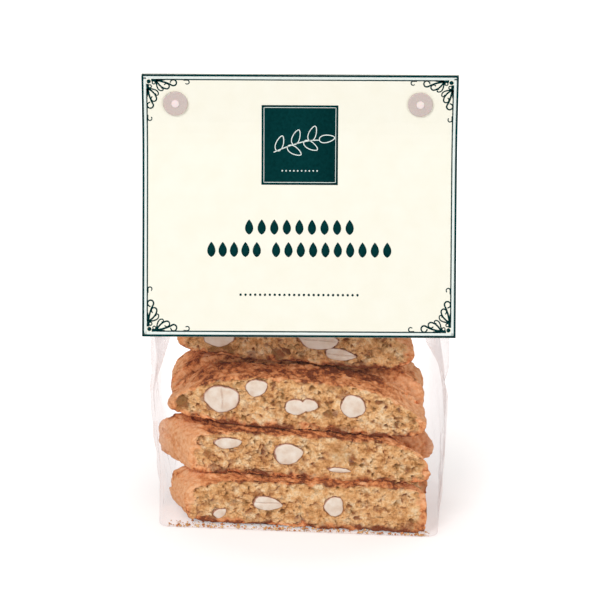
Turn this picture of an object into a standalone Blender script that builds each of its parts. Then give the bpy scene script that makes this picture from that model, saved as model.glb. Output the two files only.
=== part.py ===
"""A standing clear bag of almond biscotti, closed by a folded header card and two plastic rivets.

+Z is up and the shown front faces -Y. The origin is at the middle of the base, on the surface
that the bag stands on. The bag is one solid out to its film: a block bottom, upright walls round
the stack of biscotti, and above the stack a taper to a flat pleated mouth. The card is folded over
that mouth and splays out over the bag's front and back like a tent.
"""

import math

import bmesh
import bpy
import numpy as np

MM = 0.001

# Header card
CARD_WIDTH = 130 * MM
CARD_TOP = 193 * MM
CARD_BOTTOM = 87.4 * MM
CARD_THICKNESS = 0.45 * MM
CLAMPED_HEIGHT = 18.5 * MM  # of the card below its fold, held flat by the rivets
CARD_SPLAY = 24.5 * MM  # how far the lower edge of a panel stands out from the clamped part
BEND_RADIUS = 15 * MM  # how softly a panel turns outwards below the clamped part
CARD_STEPS = 22  # along a panel's slope
FOLD_STEPS = 8  # round the fold

# Bag
BASE_WIDTH = 120 * MM
BAG_WIDTH = 127 * MM
MOUTH_WIDTH = 125 * MM
WIDEN_HEIGHT = 42 * MM  # the side walls lean out up to here
BASE_DEPTH = 60 * MM
SHOULDER_HEIGHT = 58 * MM  # the front and back lean in above this
BASE_TWIST = math.radians(-4.6)  # of the base against the card, seen from above
BASE_SHIFT = 2.1 * MM  # the twisted base also stands a little to the right
UNTWIST_HEIGHT = 66 * MM
BASE_BEVEL = 1 * MM
BASE_CORNER = 4 * MM
WALL_CORNER = 9 * MM
GUSSET_DEPTH = 9 * MM  # how far the side pleats fold in under the card
GUSSET_START = 50 * MM
GUSSET_LIMIT = 0.4  # of half the bag's depth, so that the pleat closes towards the mouth
MOUTH_THICKNESS = 1 * MM  # the pleated film layers pressed together
MOUTH_TOP = CARD_TOP - 1.6 * MM
CORNER_STEPS = 5
SIDE_STEPS = 6
FACE_STEPS = 8
RING_COUNT = 44

# Rivets
RIVET_ACROSS = 50.3 * MM  # from the middle of the two rivets to a rivet's axis
RIVET_SHIFT = -0.9 * MM  # of that middle from the middle of the card
RIVET_BELOW_FOLD = 12.1 * MM
HEAD_RADIUS = 5.1 * MM
HEAD_THICKNESS = 0.9 * MM
HEAD_ROUNDING = 0.35 * MM
STUD_RADIUS = 1.8 * MM
STUD_RISE = 0.5 * MM
SHANK_RADIUS = 1.9 * MM
HOLE_RADIUS = 2.3 * MM
ROUND_STEPS = 40

GAP = 0.3 * MM  # kept between pieces that touch

CARD_INNER = MOUTH_THICKNESS / 2 + GAP  # half the space between the clamped panels
CARD_OUTER = CARD_INNER + CARD_THICKNESS


def smooth(t):
    """Eases from 0 to 1 as t goes from 0 to 1, and is level at both ends."""
    t = np.clip(t, 0.0, 1.0)
    return t * t * (3 - 2 * t)


def splay(height):
    """How far a card panel stands out at this height: nothing while clamped, then a hyperbola
    that bends with BEND_RADIUS and runs on straight to CARD_SPLAY at the lower edge."""
    below = np.maximum(CARD_TOP - CLAMPED_HEIGHT - height, 0.0)
    whole = CARD_TOP - CLAMPED_HEIGHT - CARD_BOTTOM
    rise = np.hypot(below, BEND_RADIUS) - BEND_RADIUS
    return CARD_SPLAY * rise / (math.hypot(whole, BEND_RADIUS) - BEND_RADIUS)


def bag_width(height):
    """The walls lean out from the base and narrow a little again towards the mouth."""
    wide = BASE_WIDTH + (BAG_WIDTH - BASE_WIDTH) * smooth(height / WIDEN_HEIGHT)
    narrow = smooth((height - CARD_BOTTOM) / (CARD_TOP - CLAMPED_HEIGHT - CARD_BOTTOM))
    return wide - (BAG_WIDTH - MOUTH_WIDTH) * narrow


def bag_depth(height):
    """Full at the base, leaning in from the shoulder, and just inside the card above its edge."""
    inside_card = 2 * (CARD_INNER + splay(max(height, CARD_BOTTOM)) - GAP)
    lean = smooth((height - SHOULDER_HEIGHT) / (CARD_BOTTOM - SHOULDER_HEIGHT))
    return BASE_DEPTH + (inside_card - BASE_DEPTH) * lean


def section(height):
    """The bag's outline at a height: a rounded rectangle whose two sides fold in to a pleat,
    turned and shifted by the base's twist."""
    inset = BASE_BEVEL - math.sqrt(BASE_BEVEL**2 - max(BASE_BEVEL - height, 0.0) ** 2)
    a = bag_width(height) / 2 - inset
    b = bag_depth(height) / 2 - inset
    corner = BASE_CORNER + (WALL_CORNER - BASE_CORNER) * smooth(height / WIDEN_HEIGHT)
    corner = min(corner, 0.6 * b)
    pleat = GUSSET_DEPTH * smooth((height - GUSSET_START) / (CARD_BOTTOM - GUSSET_START))
    pleat = min(pleat, GUSSET_LIMIT * b)

    points = []
    # Right side going back, right rear corner, rear face, and so on anticlockwise.
    p, q = a - corner, b - corner
    centres = [(p, q), (-p, q), (-p, -q), (p, -q)]
    for quarter, (cx, cy) in enumerate(centres):
        start = quarter * math.pi / 2
        for step in range(CORNER_STEPS + 1):
            angle = start + step / CORNER_STEPS * math.pi / 2
            points.append((cx + corner * math.cos(angle), cy + corner * math.sin(angle)))
        end = centres[(quarter + 1) % 4]
        count = FACE_STEPS if quarter % 2 == 0 else SIDE_STEPS
        next_start = start + math.pi / 2
        first = (cx + corner * math.cos(next_start), cy + corner * math.sin(next_start))
        last = (end[0] + corner * math.cos(next_start), end[1] + corner * math.sin(next_start))
        for step in range(1, count):
            share = step / count
            x = first[0] + (last[0] - first[0]) * share
            y = first[1] + (last[1] - first[1]) * share
            if quarter % 2:
                x -= math.copysign(pleat * math.sin(share * math.pi) ** 2, x)
            points.append((x, y))

    calm = 1 - smooth(height / UNTWIST_HEIGHT)
    cos_t, sin_t = math.cos(BASE_TWIST * calm), math.sin(BASE_TWIST * calm)
    shift = BASE_SHIFT * calm
    return [(x * cos_t - y * sin_t + shift, x * sin_t + y * cos_t, height) for x, y in points]


def new_object(name, bm, material, smooth_angle=None):
    """Turns a bmesh into a named object with outward faces and one material."""
    bmesh.ops.recalc_face_normals(bm, faces=bm.faces)
    mesh = bpy.data.meshes.new(name)
    bm.to_mesh(mesh)
    bm.free()
    mesh.materials.append(material)
    if smooth_angle:
        mesh.shade_smooth()
        mesh.set_sharp_from_angle(angle=smooth_angle)
    built = bpy.data.objects.new(name, mesh)
    bpy.context.scene.collection.objects.link(built)
    return built


def make_material(name, colour, roughness, alpha=1.0):
    """A plain finish: colour, roughness and how solid it looks."""
    material = bpy.data.materials.new(name)
    material.use_nodes = True
    shader = material.node_tree.nodes["Principled BSDF"]
    shader.inputs["Base Color"].default_value = (*colour, 1)
    shader.inputs["Roughness"].default_value = roughness
    shader.inputs["Metallic"].default_value = 0
    shader.inputs["Alpha"].default_value = alpha
    return material


def add_cutter(name, x, depth):
    """A hidden round bar along Y that drills a rivet hole."""
    bm = bmesh.new()
    bmesh.ops.create_cone(bm, cap_ends=True, segments=ROUND_STEPS, radius1=HOLE_RADIUS, radius2=HOLE_RADIUS,
                          depth=depth)
    cutter = new_object(name, bm, card_stock)
    cutter.rotation_euler = (math.pi / 2, 0, 0)
    cutter.location = (x, 0, CARD_TOP - RIVET_BELOW_FOLD)
    cutter.hide_render = True
    cutter.display_type = "WIRE"
    return cutter


def drill(piece, cutters):
    for cutter in cutters:
        cut = piece.modifiers.new("hole", "BOOLEAN")
        cut.operation = "DIFFERENCE"
        cut.solver = "EXACT"
        cut.object = cutter


def build_bag(material):
    """Stacks the sections from the flat base to the flat mouth, closest where the shape turns."""
    share = np.linspace(0, 1, RING_COUNT)
    heights = np.concatenate([[0, BASE_BEVEL * 0.4], BASE_BEVEL + (MOUTH_TOP - BASE_BEVEL) * share])
    bm = bmesh.new()
    rings = [[bm.verts.new(point) for point in section(height)] for height in heights]
    for lower, upper in zip(rings, rings[1:]):
        for i in range(len(lower)):
            j = (i + 1) % len(lower)
            bm.faces.new((lower[i], lower[j], upper[j], upper[i]))
    bm.faces.new(reversed(rings[0]))
    bm.faces.new(rings[-1])
    return new_object("bag", bm, material, math.radians(40))


def build_card(material):
    """Carries a thin wall along the card's profile, seen from the side: up the front panel,
    round the fold and down the back panel. It is as long as the card is wide."""
    middle = CARD_INNER + CARD_THICKNESS / 2
    fold_centre = CARD_TOP - CARD_OUTER
    heights = CARD_BOTTOM + (fold_centre - CARD_BOTTOM) * np.linspace(0, 1, CARD_STEPS + 1)
    front = [(-(middle + splay(height)), height) for height in heights]
    turn = np.linspace(math.pi, 0, FOLD_STEPS + 1)[1:-1]
    fold = [(middle * math.cos(angle), fold_centre + middle * math.sin(angle)) for angle in turn]
    back = [(-y, z) for y, z in reversed(front)]
    line = np.array(front + fold + back)
    along = np.gradient(line, axis=0)
    along /= np.linalg.norm(along, axis=1, keepdims=True)
    across = np.column_stack([-along[:, 1], along[:, 0]]) * CARD_THICKNESS / 2
    outline = np.concatenate([line + across, (line - across)[::-1]])

    bm = bmesh.new()
    ends = [[bm.verts.new((x, y, z)) for y, z in outline] for x in (-CARD_WIDTH / 2, CARD_WIDTH / 2)]
    count = len(outline)
    for i in range(count):
        j = (i + 1) % count
        bm.faces.new((ends[0][i], ends[0][j], ends[1][j], ends[1][i]))
    for i in range(len(line) - 1):
        quad = (i, i + 1, count - 2 - i, count - 1 - i)
        for end in ends:
            bm.faces.new([end[k] for k in quad])
    return new_object("header_card", bm, material, math.radians(40))


def build_rivet(name, x, material):
    """Turns a rivet's half profile about Y: two flat round heads, each with a low stud in its
    middle, and the shank between them."""
    inner = CARD_OUTER + GAP
    outer = inner + HEAD_THICKNESS
    corner = HEAD_ROUNDING
    half = [
        (SHANK_RADIUS, 0.0),
        (SHANK_RADIUS, inner),
        (HEAD_RADIUS - corner, inner),
        (HEAD_RADIUS, inner + corner),
        (HEAD_RADIUS, outer - corner),
        (HEAD_RADIUS - 0.3 * corner, outer - 0.3 * corner),
        (HEAD_RADIUS - corner, outer),
        (STUD_RADIUS, outer),
        (STUD_RADIUS * 0.9, outer + STUD_RISE * 0.7),
        (STUD_RADIUS * 0.6, outer + STUD_RISE),
    ]
    profile = [(r, -y) for r, y in reversed(half)] + half[1:]
    bm = bmesh.new()
    rings = []
    for radius, y in profile:
        ring = []
        for step in range(ROUND_STEPS):
            angle = 2 * math.pi * step / ROUND_STEPS
            ring.append(bm.verts.new((radius * math.cos(angle), y, radius * math.sin(angle))))
        rings.append(ring)
    for lower, upper in zip(rings, rings[1:]):
        for i in range(ROUND_STEPS):
            j = (i + 1) % ROUND_STEPS
            bm.faces.new((lower[i], upper[i], upper[j], lower[j]))
    bm.faces.new(rings[0])
    bm.faces.new(reversed(rings[-1]))
    rivet = new_object(name, bm, material, math.radians(35))
    rivet.location = (x, 0, CARD_TOP - RIVET_BELOW_FOLD)
    return rivet


for old in list(bpy.data.objects):
    bpy.data.objects.remove(old)

clear_film = make_material("clear_film", (0.90, 0.88, 0.88), 0.12, 0.35)
card_stock = make_material("card_stock", (0.99, 0.98, 0.85), 0.55)
frosted_plastic = make_material("frosted_plastic", (0.72, 0.66, 0.63), 0.4)

bag = build_bag(clear_film)
header_card = build_card(card_stock)
hole_cutters = [
    add_cutter("hole_left", RIVET_SHIFT - RIVET_ACROSS, 20 * MM),
    add_cutter("hole_right", RIVET_SHIFT + RIVET_ACROSS, 20 * MM),
]
drill(bag, hole_cutters)
drill(header_card, hole_cutters)
build_rivet("rivet_left", RIVET_SHIFT - RIVET_ACROSS, frosted_plastic)
build_rivet("rivet_right", RIVET_SHIFT + RIVET_ACROSS, frosted_plastic)
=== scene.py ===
"""The looks of a standing clear bag of almond biscotti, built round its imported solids.

Lengths are in millimetres here and turn to metres when a mesh is made. +X is right, -Y is the
shown front and +Z is up. The bag's solid is replaced by a thin film, eight cut biscotti, their
almonds and loose crumbs. The folded card and its two rivets stay, with a print on the card.
"""

import math

import bpy
import numpy as np
from mathutils import Matrix, Vector


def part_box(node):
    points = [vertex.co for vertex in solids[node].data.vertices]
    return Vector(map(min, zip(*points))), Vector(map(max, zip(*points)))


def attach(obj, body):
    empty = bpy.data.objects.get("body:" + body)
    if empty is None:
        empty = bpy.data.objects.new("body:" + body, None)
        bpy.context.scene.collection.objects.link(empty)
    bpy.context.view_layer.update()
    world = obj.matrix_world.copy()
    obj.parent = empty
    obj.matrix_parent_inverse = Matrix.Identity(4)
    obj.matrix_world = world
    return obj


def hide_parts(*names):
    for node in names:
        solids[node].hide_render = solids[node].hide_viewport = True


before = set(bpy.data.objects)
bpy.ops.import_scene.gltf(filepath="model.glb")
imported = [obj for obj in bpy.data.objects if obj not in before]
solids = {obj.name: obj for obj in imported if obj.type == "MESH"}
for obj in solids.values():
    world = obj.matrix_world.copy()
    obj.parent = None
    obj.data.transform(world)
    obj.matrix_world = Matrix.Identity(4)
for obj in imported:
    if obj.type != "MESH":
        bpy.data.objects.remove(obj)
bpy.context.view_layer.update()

MM = 0.001
BODY = "root"


def span(node):
    """A node's lowest and highest corners in millimetres."""
    low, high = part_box(node)
    return np.array(low) / MM, np.array(high) / MM


CARD_LOW, CARD_HIGH = span("header_card")

# The card's and the bag's driving sizes, as the solids have them
CARD_TOP = CARD_HIGH[2]
CARD_BOTTOM = 87.4
CARD_THICKNESS = 0.45
CLAMPED_HEIGHT = 18.5
CARD_SPLAY = 24.5
BEND_RADIUS = 15.0
CARD_STEPS = 22
FOLD_STEPS = 8
BASE_WIDTH = 120.0
BAG_WIDTH = 127.0
MOUTH_WIDTH = 125.0
WIDEN_HEIGHT = 42.0
BASE_DEPTH = 60.0
SHOULDER_HEIGHT = 58.0
BASE_TWIST = math.radians(-4.6)
BASE_SHIFT = 2.1
UNTWIST_HEIGHT = 66.0
BASE_BEVEL = 1.0
BASE_CORNER = 4.0
WALL_CORNER = 9.0
GUSSET_DEPTH = 9.0
GUSSET_START = 50.0
GUSSET_LIMIT = 0.4
MOUTH_TOP = span("bag")[1][2]
CARD_INNER = 0.8
CARD_OUTER = CARD_INNER + CARD_THICKNESS
FILM_INSET = 0.15  # keeps the film inside its solid
BAG_FLOOR = 0.35  # what lies in the bag is no lower than this


# Shapes of numbers

def smooth(t):
    """Eases from 0 to 1 as t goes from 0 to 1, and is level at both ends."""
    t = np.clip(t, 0.0, 1.0)
    return t * t * (3 - 2 * t)


def chance(cells, seed):
    """A number from 0 to 1 for each whole-number cell: its coordinates times large primes, mixed."""
    i = cells.astype(np.int64)
    mixed = (i[..., 0] * 73856093) ^ (i[..., 1] * 19349663) ^ (i[..., 2] * 83492791) ^ (seed * 97531)
    mixed = (mixed ^ (mixed >> 13)) * 1274126177 & 0x7FFFFFFF
    mixed = (mixed ^ (mixed >> 15)) * 668265263 & 0x7FFFFFFF
    return ((mixed ^ (mixed >> 14)) & 0xFFFFF) / 0xFFFFF


def swell(points, size, seed, octaves=1):
    """Smooth uneven swells from -1 to 1 about size across: chance at the corners of cells, eased
    between them. Each further octave is half as large and half as strong."""
    total = np.zeros(len(points))
    for octave in range(octaves):
        place = points / (size * 0.5**octave)
        cell = np.floor(place)
        part = smooth(place - cell)
        for corner in np.ndindex(2, 2, 2):
            near = np.where(corner, part, 1 - part).prod(axis=1)
            total += near * (chance(cell + corner, seed + octave) * 2 - 1) * 0.5**octave
    return total


def nearest(points, size, seed):
    """Distance to the nearest and second nearest of one random seed a cell, in cells, and the
    nearest seed's own chance."""
    place = points / size
    cell = np.floor(place)
    first = np.full(len(points), 9.0)
    second = first.copy()
    own = np.zeros(len(points))
    for step in np.ndindex(3, 3, 3):
        there = cell + np.array(step) - 1
        centre = there + np.column_stack([chance(there, seed + k) for k in (1, 2, 3)])
        away = np.linalg.norm(place - centre, axis=1)
        closer = away < first
        second = np.where(closer, first, np.minimum(second, away))
        own = np.where(closer, chance(there, seed + 4), own)
        first = np.where(closer, away, first)
    return first, second, own


def dents(points, size, seed, share):
    """Round bubbles cut open, at most about a third of size deep: a sphere round each seed, with a
    radius by its chance, and none where its chance is over share."""
    away, _, own = nearest(points, size, seed)
    radius = 0.2 + 0.35 * own / share
    depth = np.sqrt(np.clip(1 - (away / radius) ** 2, 0, 1)) * radius * size
    return np.where(own < share, depth, 0)


def turned(x, y, angle):
    """x and y turned anticlockwise by angle."""
    return x * math.cos(angle) - y * math.sin(angle), x * math.sin(angle) + y * math.cos(angle)


# Meshes

def strip_faces(rows):
    """Quads between neighbouring rows and columns of a table of point numbers."""
    corners = [rows[:-1, :-1], rows[:-1, 1:], rows[1:, 1:], rows[1:, :-1]]
    return np.stack(corners, axis=-1).reshape(-1, 4)


def round_faces(rows):
    """As strip_faces, with each row closed to a ring."""
    return strip_faces(np.column_stack([rows, rows[:, :1]]))


def fan_faces(ring, pole):
    """Triangles from a ring of point numbers to one point."""
    return np.column_stack([ring, np.roll(ring, -1), np.full(len(ring), pole)])


def outward(points, faces):
    """The faces, all turned over if the volume that they enclose comes out negative."""
    volume = 0.0
    for group in faces:
        for k in range(1, group.shape[1] - 1):
            a, b, c = (points[group[:, m]] for m in (0, k, k + 1))
            volume += np.einsum("ij,ij->", a, np.cross(b, c))
    return faces if volume > 0 else [group[:, ::-1] for group in faces]


def add_piece(name, points, faces, material, values=None):
    """Makes a smooth-shaded mesh object of points in millimetres and groups of quads or triangles,
    with a named number for each point, and lets it ride on the pack."""
    mesh = bpy.data.meshes.new(name)
    lists = [face for group in outward(points, faces) for face in group.tolist()]
    mesh.from_pydata(points * MM, [], lists)
    mesh.shade_smooth()
    for key, numbers in (values or {}).items():
        mesh.attributes.new(key, "FLOAT", "POINT").data.foreach_set("value", numbers.astype(np.float32))
    mesh.materials.append(material)
    piece = bpy.data.objects.new(name, mesh)
    bpy.context.scene.collection.objects.link(piece)
    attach(piece, BODY)
    return piece


def joined(parts):
    """Several (points, faces, values) shapes as one."""
    points, groups, values, start = [], {}, {}, 0
    for part_points, part_faces, part_values in parts:
        points.append(part_points)
        for group in part_faces:
            groups.setdefault(group.shape[1], []).append(group + start)
        for key, numbers in part_values.items():
            values.setdefault(key, []).append(numbers)
        start += len(part_points)
    faces = [np.concatenate(group) for group in groups.values()]
    return np.concatenate(points), faces, {key: np.concatenate(v) for key, v in values.items()}


# Materials

def hex_colour(text):
    """An sRGB hex colour as linear red, green, blue and alpha 1."""
    levels = np.array([int(text[k : k + 2], 16) for k in (1, 3, 5)]) / 255
    linear = np.where(levels <= 0.04045, levels / 12.92, ((levels + 0.055) / 1.055) ** 2.4)
    return (*linear, 1.0)


def node(tree, kind, inputs=None, stops=None, **settings):
    """Adds a node. An input takes a number, a colour or another node's output, and stops are the
    places and hex colours of a colour ramp."""
    made = tree.nodes.new(kind)
    for key, value in settings.items():
        setattr(made, key, value)
    for key, value in (inputs or {}).items():
        if isinstance(value, bpy.types.NodeSocket):
            tree.links.new(value, made.inputs[key])
        else:
            made.inputs[key].default_value = value
    if stops:
        ramp = made.color_ramp
        while len(ramp.elements) < len(stops):
            ramp.elements.new(0.5)
        for element, (place, colour) in zip(ramp.elements, stops):
            element.position = place
            element.color = hex_colour(colour)
    return made


def new_material(name):
    """An empty node material with its Material Output."""
    material = bpy.data.materials.new(name)
    material.use_nodes = True
    tree = material.node_tree
    tree.nodes.clear()
    return material, tree, node(tree, "ShaderNodeOutputMaterial")


def per_mm(size):
    """The scale that gives a texture on Object coordinates cells of this size."""
    return 1 / (size * MM)


def biscotti_material():
    """Twice-baked almond dough. The cut shows a dry, pale yellow crumb of coarse grains, darkened
    olive-brown in its pits, bubbles and hollows as painted shade, and the outside is a matt crust
    from light orange to a dark roasted brown, with more painted shade in its cracks."""
    material, tree, out = new_material("baked_almond_dough")
    place = node(tree, "ShaderNodeTexCoord").outputs["Object"]
    pore_shade = node(tree, "ShaderNodeAttribute", attribute_name="pore_shade").outputs["Fac"]
    crust = node(tree, "ShaderNodeAttribute", attribute_name="crust").outputs["Fac"]
    toast_and_crack_shade = node(tree, "ShaderNodeAttribute", attribute_name="toast_and_crack_shade").outputs["Fac"]
    mottle = node(tree, "ShaderNodeTexNoise", {"Vector": place, "Scale": per_mm(4.2), "Detail": 5.0,
                                               "Roughness": 0.72})
    crumb = node(tree, "ShaderNodeValToRGB", {"Fac": mottle.outputs["Fac"]},
                 stops=[(0.34, "#B97F48"), (0.44, "#E6AC70"), (0.54, "#F8CA92"), (0.64, "#FFE3B8")])
    grain = node(tree, "ShaderNodeTexNoise", {"Vector": place, "Scale": per_mm(0.8), "Detail": 3.0,
                                              "Roughness": 0.7})
    speck = node(tree, "ShaderNodeMapRange", {"Value": grain.outputs["Fac"], "From Min": 0.36,
                                              "From Max": 0.5, "To Min": 0.42, "To Max": 0.0})
    specked = node(tree, "ShaderNodeMix", {"Factor": speck.outputs["Result"], "A": crumb.outputs["Color"],
                                           "B": hex_colour("#AE7A46")}, data_type="RGBA")
    # Painted shade: an olive-brown colour painted into the crumb's pits and bubbles, as far as they are
    # sunk
    drift = node(tree, "ShaderNodeTexNoise", {"Vector": place, "Scale": per_mm(6.0), "Detail": 2.0})
    pit = node(tree, "ShaderNodeValToRGB", {"Fac": drift.outputs["Fac"]},
               stops=[(0.42, "#8A6232"), (0.58, "#8E4F2E")])
    pit_shade_share = node(tree, "ShaderNodeMapRange", {"Value": pore_shade, "From Min": 0.12, "From Max": 0.9,
                                               "To Min": 0.0, "To Max": 0.85})
    pit_shaded = node(tree, "ShaderNodeMix", {"Factor": pit_shade_share.outputs["Result"],
                                            "A": specked.outputs["Result"],
                                            "B": pit.outputs["Color"]}, data_type="RGBA")
    blotch = node(tree, "ShaderNodeTexNoise", {"Vector": place, "Scale": per_mm(7.5), "Detail": 2.0})
    skin_bit = node(tree, "ShaderNodeMapRange", {"Value": blotch.outputs["Fac"], "From Min": 0.66,
                                                 "From Max": 0.72, "To Min": 0.0, "To Max": 0.55})
    flecked = node(tree, "ShaderNodeMix", {"Factor": skin_bit.outputs["Result"],
                                           "A": pit_shaded.outputs["Result"],
                                           "B": hex_colour("#8C6258")}, data_type="RGBA")
    fine = node(tree, "ShaderNodeTexNoise", {"Vector": place, "Scale": per_mm(1.6), "Detail": 4.0,
                                             "Roughness": 0.7})
    # The crust's colour follows its toasting and the painted shade in its cracks and pits
    browning_and_crack_shade = node(tree, "ShaderNodeMath", {0: fine.outputs["Fac"], 1: toast_and_crack_shade}, operation="ADD")
    crust_colour = node(tree, "ShaderNodeValToRGB", {"Fac": browning_and_crack_shade.outputs[0]},
                        stops=[(0.42, "#FFC594"), (0.62, "#F0A66E"), (0.82, "#CB7C4A"), (1.0, "#82462A")])
    whole = node(tree, "ShaderNodeMix", {"Factor": crust, "A": flecked.outputs["Result"],
                                         "B": crust_colour.outputs["Color"]}, data_type="RGBA")
    bump = node(tree, "ShaderNodeBump", {"Height": grain.outputs["Fac"], "Strength": 0.35,
                                         "Distance": 0.3 * MM})
    shader = node(tree, "ShaderNodeBsdfPrincipled", {"Base Color": whole.outputs["Result"],
                                                     "Roughness": 0.85, "IOR": 1.4,
                                                     "Specular IOR Level": 0.25,
                                                     "Normal": bump.outputs["Normal"]})
    tree.links.new(shader.outputs["BSDF"], out.inputs["Surface"])
    return material


def almond_material():
    """Cut sweet almond: waxy ivory flesh that scatters a little light, and a thin brown seed coat that
    shows as a dark line round the cut. The groove between its halves is darkened as painted shade."""
    material, tree, out = new_material("cut_almond_kernel")
    place = node(tree, "ShaderNodeTexCoord").outputs["Object"]
    skin_and_cleft_shade = node(tree, "ShaderNodeAttribute", attribute_name="skin_and_cleft_shade").outputs["Fac"]
    cloud = node(tree, "ShaderNodeTexNoise", {"Vector": place, "Scale": per_mm(4.0), "Detail": 3.0})
    flesh = node(tree, "ShaderNodeValToRGB", {"Fac": cloud.outputs["Fac"]},
                 stops=[(0.3, "#E8D1BA"), (0.5, "#F3E4D2"), (0.7, "#FAF0E2")])
    wear = node(tree, "ShaderNodeTexNoise", {"Vector": place, "Scale": per_mm(0.9), "Detail": 3.0})
    brown = node(tree, "ShaderNodeValToRGB", {"Fac": wear.outputs["Fac"]},
                 stops=[(0.35, "#9A6450"), (0.65, "#D0A088")])
    colour = node(tree, "ShaderNodeMix", {"Factor": skin_and_cleft_shade, "A": flesh.outputs["Color"],
                                          "B": brown.outputs["Color"]}, data_type="RGBA")
    bump = node(tree, "ShaderNodeBump", {"Height": wear.outputs["Fac"], "Strength": 0.15,
                                         "Distance": 0.15 * MM})
    shader = node(tree, "ShaderNodeBsdfPrincipled", {"Base Color": colour.outputs["Result"],
                                                     "Roughness": 0.5, "IOR": 1.47,
                                                     "Normal": bump.outputs["Normal"]})
    tree.links.new(shader.outputs["BSDF"], out.inputs["Surface"])
    return material


def film_material():
    """Cast polypropylene film, 40 micrometres thick: clear, with a faint haze, and denser and
    shinier where it is seen edge-on, in its folds and along its sides."""
    material, tree, out = new_material("clear_polypropylene_film")
    edge = node(tree, "ShaderNodeLayerWeight", {"Blend": 0.35}).outputs["Facing"]
    loose = node(tree, "ShaderNodeAttribute", attribute_name="loose").outputs["Fac"]
    haze = node(tree, "ShaderNodeMapRange", {"Value": edge, "From Min": 0.3, "From Max": 1.0,
                                             "To Min": 0.01, "To Max": 0.26})
    milky = node(tree, "ShaderNodeMath", {0: haze.outputs["Result"], 1: loose}, operation="ADD")
    clear = node(tree, "ShaderNodeBsdfTransparent", {"Color": hex_colour("#FEFDFD")})
    surface = node(tree, "ShaderNodeBsdfPrincipled", {"Base Color": hex_colour("#EEE5E7"),
                                                      "Roughness": 0.16, "IOR": 1.49})
    mixed = node(tree, "ShaderNodeMixShader", {"Fac": milky.outputs[0], 1: clear.outputs["BSDF"],
                                               2: surface.outputs["BSDF"]})
    tree.links.new(mixed.outputs["Shader"], out.inputs["Surface"])
    return material


def card_material():
    """Uncoated cream card, 350 g: matt, with a faint tooth and cloudiness of pressed fibres."""
    material, tree, out = new_material("cream_uncoated_card")
    place = node(tree, "ShaderNodeTexCoord").outputs["Object"]
    cloud = node(tree, "ShaderNodeTexNoise", {"Vector": place, "Scale": per_mm(9.0), "Detail": 4.0})
    colour = node(tree, "ShaderNodeValToRGB", {"Fac": cloud.outputs["Fac"]},
                  stops=[(0.3, "#FBF8E7"), (0.7, "#FDFBEC")])
    tooth = node(tree, "ShaderNodeTexNoise", {"Vector": place, "Scale": per_mm(0.35), "Detail": 4.0,
                                              "Roughness": 0.7})
    bump = node(tree, "ShaderNodeBump", {"Height": tooth.outputs["Fac"], "Strength": 0.08,
                                         "Distance": 0.05 * MM})
    shader = node(tree, "ShaderNodeBsdfPrincipled", {"Base Color": colour.outputs["Color"],
                                                     "Roughness": 0.62, "IOR": 1.4,
                                                     "Normal": bump.outputs["Normal"]})
    tree.links.new(shader.outputs["BSDF"], out.inputs["Surface"])
    return material


def rivet_material(rivet):
    """Moulded natural polypropylene: pinkish grey and milky, with a spark-eroded grain. The small hub
    in the middle of each head is painted paler: a painted highlight where it faces the light."""
    material, tree, out = new_material("frosted_moulded_polypropylene")
    place = node(tree, "ShaderNodeTexCoord").outputs["Object"]
    corners = np.array([vertex.co for vertex in rivet.data.vertices])
    centre = (corners.min(axis=0) + corners.max(axis=0)) / 2
    from_centre = node(tree, "ShaderNodeVectorMath", {0: place, 1: tuple(centre)}, operation="SUBTRACT")
    from_axis = node(tree, "ShaderNodeVectorMath", {0: from_centre.outputs["Vector"], 1: (1, 0, 1)},
                     operation="MULTIPLY")
    radius = node(tree, "ShaderNodeVectorMath", {0: from_axis.outputs["Vector"]}, operation="LENGTH")
    # Painted highlight: the hub within 1.4 to 1.8 mm of the rivet's axis is painted paler
    stud_highlight = node(tree, "ShaderNodeMapRange", {"Value": radius.outputs["Value"], "From Min": 1.4 * MM,
                                             "From Max": 1.8 * MM, "To Min": 1.0, "To Max": 0.0})
    grain = node(tree, "ShaderNodeTexNoise", {"Vector": place, "Scale": per_mm(0.5), "Detail": 4.0,
                                              "Roughness": 0.75})
    colour = node(tree, "ShaderNodeValToRGB", {"Fac": grain.outputs["Fac"]},
                  stops=[(0.3, "#C4B3AC"), (0.7, "#D8CAC4")])
    stud_highlighted = node(tree, "ShaderNodeMix", {"Factor": stud_highlight.outputs["Result"], "A": colour.outputs["Color"],
                                           "B": hex_colour("#F6E6E3")}, data_type="RGBA")
    bump = node(tree, "ShaderNodeBump", {"Height": grain.outputs["Fac"], "Strength": 0.5,
                                         "Distance": 0.08 * MM})
    shader = node(tree, "ShaderNodeBsdfPrincipled", {"Base Color": stud_highlighted.outputs["Result"],
                                                     "Roughness": 0.42, "IOR": 1.49,
                                                     "Subsurface Weight": 0.15,
                                                     "Subsurface Scale": 0.5 * MM,
                                                     "Normal": bump.outputs["Normal"]})
    tree.links.new(shader.outputs["BSDF"], out.inputs["Surface"])
    return material


def ink_material(name, dark, light):
    """Offset printing ink: flat and even, with the slight mottle of ink on uncoated card."""
    material, tree, out = new_material(name)
    place = node(tree, "ShaderNodeTexCoord").outputs["Object"]
    mottle = node(tree, "ShaderNodeTexNoise", {"Vector": place, "Scale": per_mm(1.2), "Detail": 3.0})
    colour = node(tree, "ShaderNodeValToRGB", {"Fac": mottle.outputs["Fac"]},
                  stops=[(0.3, dark), (0.7, light)])
    shader = node(tree, "ShaderNodeBsdfPrincipled", {"Base Color": colour.outputs["Color"],
                                                     "Roughness": 0.7, "IOR": 1.45,
                                                     "Specular IOR Level": 0.03})
    tree.links.new(shader.outputs["BSDF"], out.inputs["Surface"])
    return material


# The bag's film

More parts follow.
